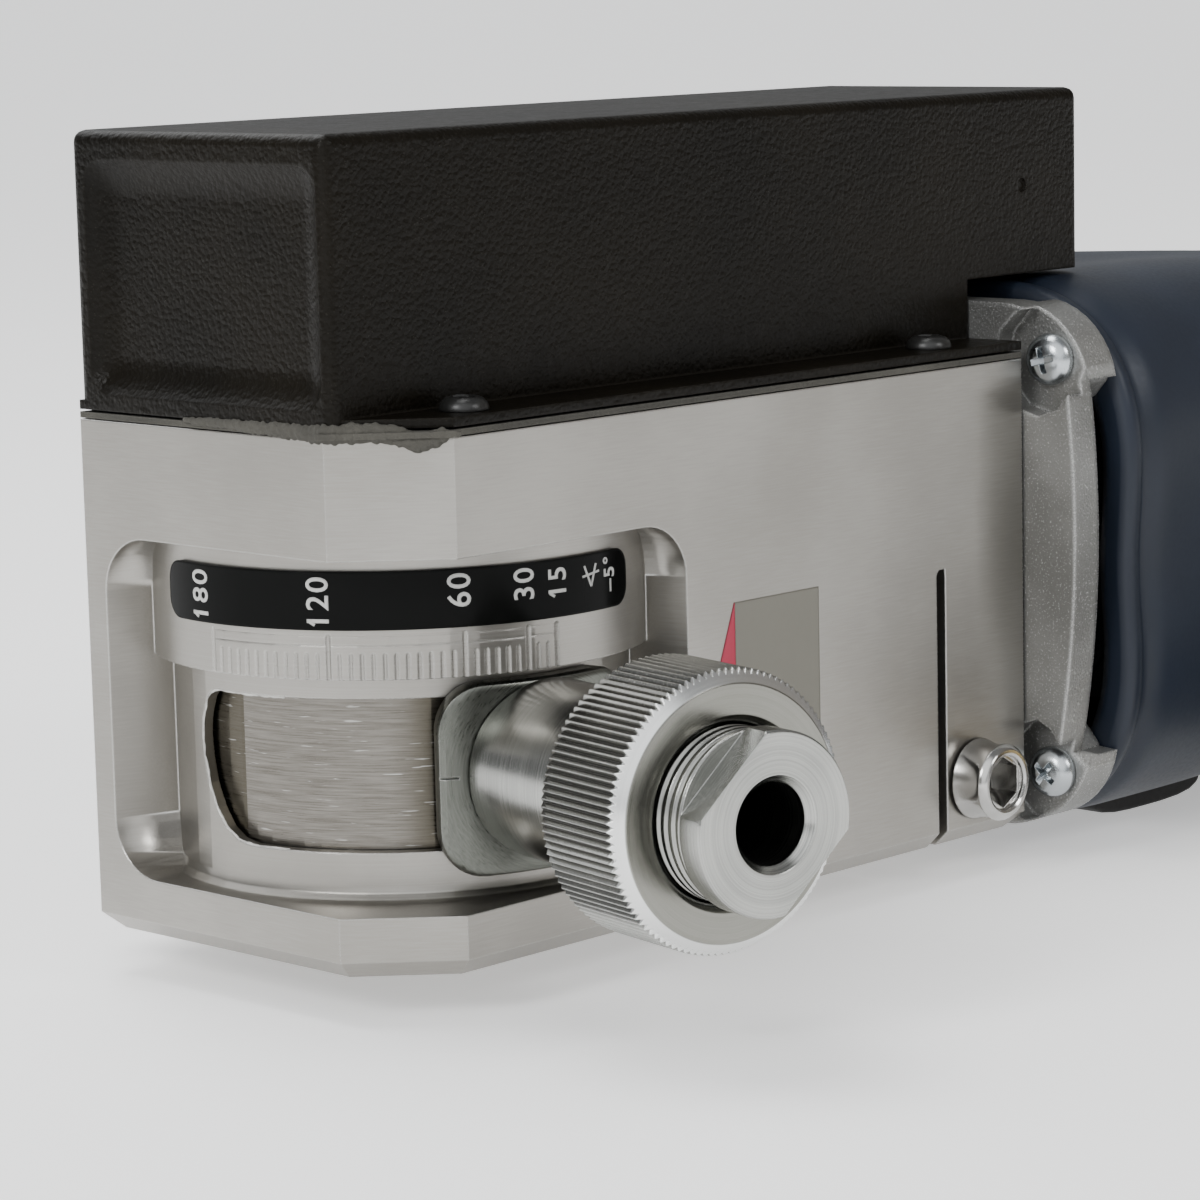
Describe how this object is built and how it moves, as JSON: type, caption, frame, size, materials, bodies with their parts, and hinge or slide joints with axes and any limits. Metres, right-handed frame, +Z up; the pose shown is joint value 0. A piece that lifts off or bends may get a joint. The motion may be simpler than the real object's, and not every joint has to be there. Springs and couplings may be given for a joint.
{
  "type": "tungsten electrode grinder",
  "caption": "Hand-held tungsten electrode grinder: aluminium head with a swivelling electrode guide and angle scale, dust hood and clamped mains motor.",
  "frame": {"origin": "the swivel axis of the electrode guide where it meets the flat underside of the head block", "axes": "+X along the motor axis from the head to the motor, +Y away from the side with the clamp screw, +Z up along the swivel axis"},
  "size_m": [0.3932, 0.1962, 0.098],
  "materials": {
    "satin_aluminium": "machined and fine-blasted satin",
    "die_cast": "grained silver casting",
    "turned_steel": "turned",
    "brushed_steel": "brushed across",
    "polished_steel": "polished",
    "zinc_screw": "zinc plated",
    "black_screw": "black coated",
    "black_gloss": "gloss",
    "grained_black": "fine crinkle",
    "grey_foam": "open-cell foam",
    "filter_paper": "pleated",
    "navy_plastic": "soft matt",
    "black_plastic": "matt",
    "black_rubber": "matt",
    "copper": "bare copper",
    "lamination": "stacked sheet",
    "carbon": "dull",
    "diamond_grit": "fine grit",
    "brass": "drawn"
  },
  "bodies": {
    "head": {"head_block": "satin_aluminium", "scale_band": "black_gloss", "chamber_cover": "satin_aluminium", "cover_screw_1": "black_screw", "cover_screw_2": "black_screw", "cover_screw_3": "black_screw", "cover_screw_4": "black_screw", "clamp_screw": "polished_steel", "foam_gasket": "grey_foam", "dust_hood": "grained_black", "hood_screw_1": "black_screw", "hood_screw_2": "black_screw", "filter_cartridge": "filter_paper", "motor_flange": "die_cast", "flange_screw_1": "zinc_screw", "flange_screw_2": "zinc_screw", "flange_screw_3": "zinc_screw", "flange_screw_4": "zinc_screw", "front_bearing": "polished_steel", "rear_bearing": "polished_steel", "motor_housing": "navy_plastic", "tail_housing": "navy_plastic", "stator": "lamination", "brush_holder_near": "brass", "brush_near": "carbon", "brush_cap_near": "black_plastic", "brush_holder_far": "brass", "brush_far": "carbon", "brush_cap_far": "black_plastic", "bumper_foot": "black_rubber", "strain_relief": "black_rubber", "cord_lead": "black_rubber", "cord_coil": "black_rubber", "cord_tie": "black_rubber", "cord_tail": "black_rubber", "mains_plug": "black_rubber", "plug_pin_1": "brass", "plug_pin_2": "brass"},
    "carriage": {"swivel_plate": "turned_steel", "window_shutter": "brushed_steel", "guide_sleeve": "turned_steel", "guide_bush": "turned_steel"},
    "clamp_ring": {"clamp_nut": "turned_steel"},
    "rotor": {"shaft": "polished_steel", "grinding_wheel": "diamond_grit", "wheel_flange": "turned_steel", "wheel_nut": "zinc_screw", "fan": "black_plastic", "armature_core": "lamination", "winding_front": "copper", "winding_rear": "copper", "commutator": "copper"},
    "switch": {"switch_slide": "black_plastic"},
    "dial": {"speed_dial": "black_plastic"}
  },
  "joints": [
    {"name": "swivel", "type": "hinge", "parent": "head", "child": "carriage", "pos_m": [0, 0, 0.0213], "axis": [0, 0, 1], "range_deg": [-74, 11]},
    {"name": "clamp_turn", "type": "hinge", "parent": "carriage", "child": "clamp_ring", "pos_m": [-0.01069, -0.05497, 0.0213], "axis": [-0.1908, -0.9816, 0], "range_deg": [0, 180]},
    {"name": "spindle_spin", "type": "hinge", "parent": "head", "child": "rotor", "pos_m": [0, -0.0045, 0.0334], "axis": [1, 0, 0], "continuous": true},
    {"name": "switch_slide", "type": "slide", "parent": "head", "child": "switch", "axis": [1, 0, 0], "range_m": [0, 0.006]},
    {"name": "dial_turn", "type": "hinge", "parent": "head", "child": "dial", "pos_m": [0.2669, -0.0045, 0.0592], "axis": [0, 1, 0], "range_deg": [0, 270]}
  ]
}
